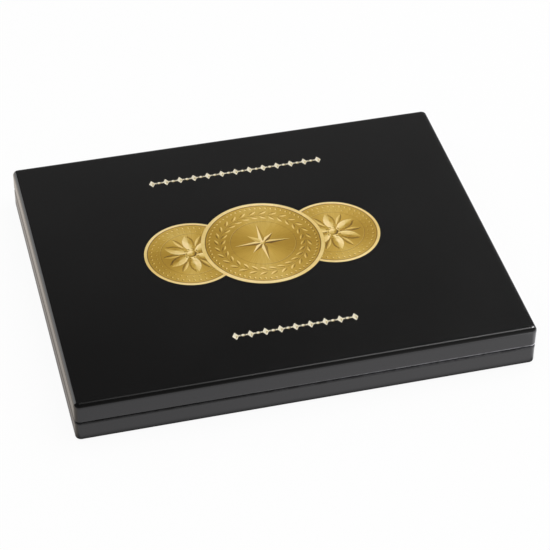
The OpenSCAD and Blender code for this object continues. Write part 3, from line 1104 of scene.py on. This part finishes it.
class COINCASE_OT_medals(CoinCaseStep):
    """Print the three gold medals on the lid"""

    bl_idname = "coin_case.medals"
    bl_label = "Medals"

    def make(self, scene):
        look = scene.case_print
        side_x = PRINT_HIGH.x - look.side_r

        def raised(shares):
            """Levels in the print at these shares of its thickness."""
            return [PRINT_BASE + (PRINT_TOP - PRINT_BASE) * share for share in shares]

        middle = joined(medal_pieces(look, MIDDLE_R, PRINT_BASE, raised(MIDDLE_LEVELS), True),
                        "middle_medal")
        middle.data.transform(Matrix.Translation((0, EMBLEM_Y, 0)))
        side = joined(medal_pieces(look, look.side_r, PRINT_BASE, raised(SIDE_LEVELS), False),
                      "side_medal")
        left, right = copies(side, [Matrix.Translation((x, EMBLEM_Y, 0))
                                    for x in (-side_x, side_x)])
        left.name, right.name = "left_medal", "right_medal"
        gold = printed_gold("gold_print_middle", look, 0, False)
        side_gold = printed_gold("gold_print_sides", look, side_x, True)
        for piece, material in ((middle, gold), (left, side_gold), (right, side_gold)):
            settle(piece, material, "lid", ["lid_emblem"])


class COINCASE_OT_rules(CoinCaseStep):
    """Print the two ornamental rules on the lid"""

    bl_idname = "coin_case.rules"
    bl_label = "Rules"

    def make(self, scene):
        look = scene.case_rules
        low, high = box_mm("lid_rules")
        rise = high.z - low.z
        reach = high.y - look.lozenge_d / 2
        pieces = (rule_pieces(look, look.back_w, reach, low.z, rise)
                  + rule_pieces(look, look.front_w, -reach, low.z, rise))
        settle(joined(pieces, "printed_rules"), cream_print(), "lid", ["lid_rules"])


class COINCASE_OT_insert(CoinCaseStep):
    """Flock the insert board and the card under it"""

    bl_idname = "coin_case.insert"
    bl_label = "Insert"

    def make(self, scene):
        look = scene.case_flock
        board = merged_copy("insert_board", "flocked_insert")
        round_edges(board, look.edge)
        material = flock("blue_flock", look)
        settle(board, material, "base", ["insert_board"])
        dress_node("insert_floor", material)


EDGE_SHARE = 0.42  # how thick the lining's edge is, as a share of its full thickness


def waver(first, second, pace, layer):
    """Smooth noise from -1 to 1 that changes at a pace of its own along each of two ways."""
    return noise.noise((first * pace[0], second * pace[1], layer))


class COINCASE_OT_lining(CoinCaseStep):
    """Pad the lid with satin drawn over its card"""

    bl_idname = "coin_case.lining"
    bl_label = "Lining"

    def make(self, scene):
        look = scene.case_satin
        low, high = box_mm("lid_lining")
        size = high - low
        pad = add("grid", x_subdivisions=round(size.x / look.spacing),
                  y_subdivisions=round(size.y / look.spacing), size=1,
                  location=(0, 0, high.z))
        pad.scale = (size.x, size.y, 1)
        fix(pad)
        self.puff(pad, low, high, look)
        with editing(pad, "EDGE"):
            bpy.ops.mesh.select_all(action="SELECT")
            bpy.ops.mesh.region_to_loop()
            bpy.ops.mesh.extrude_edges_move(TRANSFORM_OT_translate={"value": (0, 0, 0)})
            bpy.ops.transform.resize(value=(1, 1, 0), center_override=(0, 0, high.z))
            bpy.ops.mesh.edge_face_add()
            bpy.ops.mesh.select_all(action="SELECT")
            bpy.ops.mesh.normals_make_consistent(inside=False)
        pad.name = "satin_pad"
        smooth(pad, 70)
        settle(pad, satin(look), "lid", ["lid_lining"])
        dress_node("lid_card", plain_card())

    def puff(self, pad, low, high, look):
        """Crowns the pad below its card, with puckers where the satin is drawn in."""
        edge_z = high.z - (high.z - low.z) * EDGE_SHARE
        fullness = edge_z - low.z - look.pucker * 0.5
        for point in pad.data.vertices:
            spot = point.co
            inside_x, inside_y = high.x - abs(spot.x), high.y - abs(spot.y)
            inside = min(inside_x, inside_y)
            along = spot.y if inside_x < inside_y else spot.x
            crown = (1 - math.exp(-inside_x / look.drawn)) * (1 - math.exp(-inside_y / look.drawn))
            fold = 0.7 - 2 * abs(waver(along, inside, (0.09, 0.02), 3.1))
            fold += 0.5 * waver(along, inside, (0.2, 0.03), 9.7)
            fade = math.exp(-inside / (look.drawn * 2)) * min(1, inside / 3)
            calm = waver(spot.x, spot.y, (0.018, 0.018), 5.3) * 0.12
            spot.z = edge_z - fullness * (crown + calm * crown) + look.pucker * fold * fade


class COINCASE_OT_felt(CoinCaseStep):
    """Lay the felt on the underside"""

    bl_idname = "coin_case.felt"
    bl_label = "Felt"

    def make(self, scene):
        look = scene.case_felt
        sheet = merged_copy("base_felt", "underside_sheet")
        round_edges(sheet, look.edge)
        settle(sheet, pressed_felt(look), "base", ["base_felt"])


class COINCASE_OT_hardware(CoinCaseStep):
    """Finish the hinges, the screws and the magnets"""

    bl_idname = "coin_case.hardware"
    bl_label = "Hardware"

    def make(self, scene):
        brass = brushed_metal("satin_brass", tint(226, 192, 118), 0.34, (300, 9000, 9000))
        steel = brushed_metal("drawn_steel", tint(196, 196, 198), 0.25, (200, 9000, 9000))
        turned = brushed_metal("turned_brass", tint(230, 198, 126), 0.28, (6000, 6000, 6000))
        nickel = brushed_metal("nickel_plate", tint(206, 204, 198), 0.18, (2500, 2500, 2500))
        for node in LEAVES:
            dress_node(node, brass)
        for side in ("left", "right"):
            dress_node(f"{side}_hinge_pin", steel)
        for part in ("base", "lid"):
            dress_node(f"{part}_hinge_screws", turned)
            dress_node(f"{part}_magnets", nickel)


class COINCASE_PT_dressing(bpy.types.Panel):
    """The steps and their settings, in the sidebar"""

    bl_label = "Coin case"
    bl_idname = "COINCASE_PT_dressing"
    bl_space_type = "VIEW_3D"
    bl_region_type = "UI"
    bl_category = "Coin case"

    def draw(self, context):
        """Lists the steps, and below them each group of settings."""
        for step in STEPS:
            self.layout.operator(step.bl_idname)
        for name, group in SETTINGS.items():
            box = self.layout.box()
            for prop in group.__annotations__:
                box.prop(getattr(context.scene, name), prop)


SETTINGS = {"case_lacquer": CaseLacquer, "case_flock": CaseFlock, "case_satin": CaseSatin,
            "case_felt": CaseFelt, "case_print": CasePrint, "case_rules": CaseRules,
            "case_studio": CaseStudio}
STEPS = [COINCASE_OT_studio, COINCASE_OT_lacquer, COINCASE_OT_medals, COINCASE_OT_rules,
         COINCASE_OT_insert, COINCASE_OT_lining, COINCASE_OT_felt, COINCASE_OT_hardware]
CLASSES = [*SETTINGS.values(), *STEPS, COINCASE_PT_dressing]


def register():
    """Registers the classes, and gives each scene its settings."""
    for made in CLASSES:
        bpy.utils.register_class(made)
    for name, group in SETTINGS.items():
        setattr(bpy.types.Scene, name, bpy.props.PointerProperty(type=group))


def unregister():
    """Takes the settings and the classes away."""
    for name in SETTINGS:
        delattr(bpy.types.Scene, name)
    for made in reversed(CLASSES):
        bpy.utils.unregister_class(made)


def main():
    """Runs the steps in order."""
    register()
    for step in STEPS:
        family, name = step.bl_idname.split(".")
        getattr(getattr(bpy.ops, family), name)()


if __name__ == "__main__":
    main()
